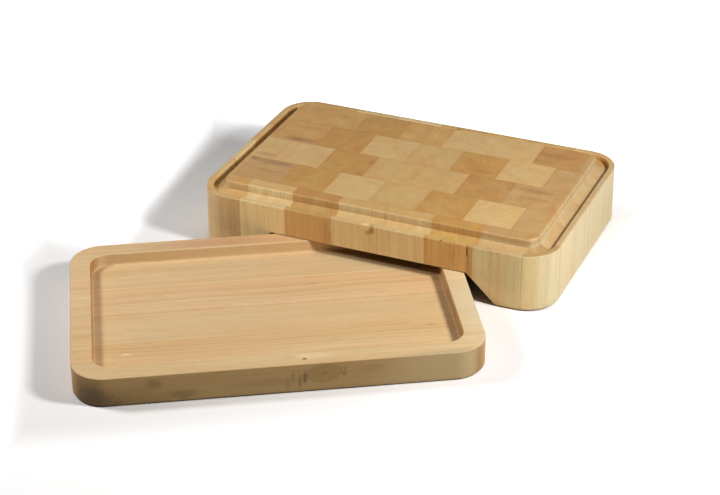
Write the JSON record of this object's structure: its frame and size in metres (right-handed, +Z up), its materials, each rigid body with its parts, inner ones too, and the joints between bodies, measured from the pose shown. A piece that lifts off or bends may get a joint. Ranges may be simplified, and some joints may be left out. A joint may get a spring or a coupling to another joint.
{
  "type": "cutting board with serving tray",
  "caption": "End-grain wooden cutting board with a raised cutting surface, juice groove and arched underside, and a shallow pocketed tray that slides out from the arch.",
  "frame": {"origin": "middle of the space that board and tray take up in the pictured pose, at table height", "axes": "+X to the right along the board's length, +Y to the back across the board, +Z up"},
  "size_m": [0.5401, 0.6488, 0.0815],
  "materials": {
    "straw": "oiled",
    "tan": "oiled",
    "honey": "oiled",
    "rosy": "oiled",
    "amber": "oiled",
    "rust": "oiled",
    "cream": "oiled"
  },
  "bodies": {
    "board": {"front_row_block_1": "honey", "front_row_block_2": "straw", "front_row_block_3": "rust", "front_row_block_4": "tan", "front_row_block_5": "tan", "front_row_block_6": "amber", "front_row_block_7": "rosy", "front_row_block_8": "rosy", "second_row_block_1": "tan", "second_row_block_2": "rosy", "second_row_block_3": "amber", "second_row_block_4": "straw", "second_row_block_5": "tan", "second_row_block_6": "amber", "second_row_block_7": "straw", "second_row_block_8": "rosy", "third_row_block_1": "straw", "third_row_block_2": "straw", "third_row_block_3": "amber", "third_row_block_4": "tan", "third_row_block_5": "tan", "third_row_block_6": "rust", "third_row_block_7": "rosy", "third_row_block_8": "rosy", "fourth_row_block_1": "honey", "fourth_row_block_2": "honey", "fourth_row_block_3": "amber", "fourth_row_block_4": "straw", "fourth_row_block_5": "tan", "fourth_row_block_6": "amber", "fourth_row_block_7": "straw", "fourth_row_block_8": "rosy", "fifth_row_block_1": "honey", "fifth_row_block_2": "honey", "fifth_row_block_3": "amber", "fifth_row_block_4": "honey", "fifth_row_block_5": "straw", "fifth_row_block_6": "straw", "fifth_row_block_7": "rust", "fifth_row_block_8": "rosy", "back_row_block_1": "honey", "back_row_block_2": "rust", "back_row_block_3": "tan", "back_row_block_4": "straw", "back_row_block_5": "rust", "back_row_block_6": "amber", "back_row_block_7": "amber", "back_row_block_8": "honey"},
    "tray": {"tray_front_stave": "cream", "tray_second_stave": "tan", "tray_third_stave": "cream", "tray_fourth_stave": "tan", "tray_fifth_stave": "cream", "tray_back_stave": "tan"}
  },
  "joints": [
    {"name": "tray_slide", "type": "slide", "parent": "board", "child": "tray", "axis": [0, -1, 0], "range_m": [0, 0.2]}
  ]
}
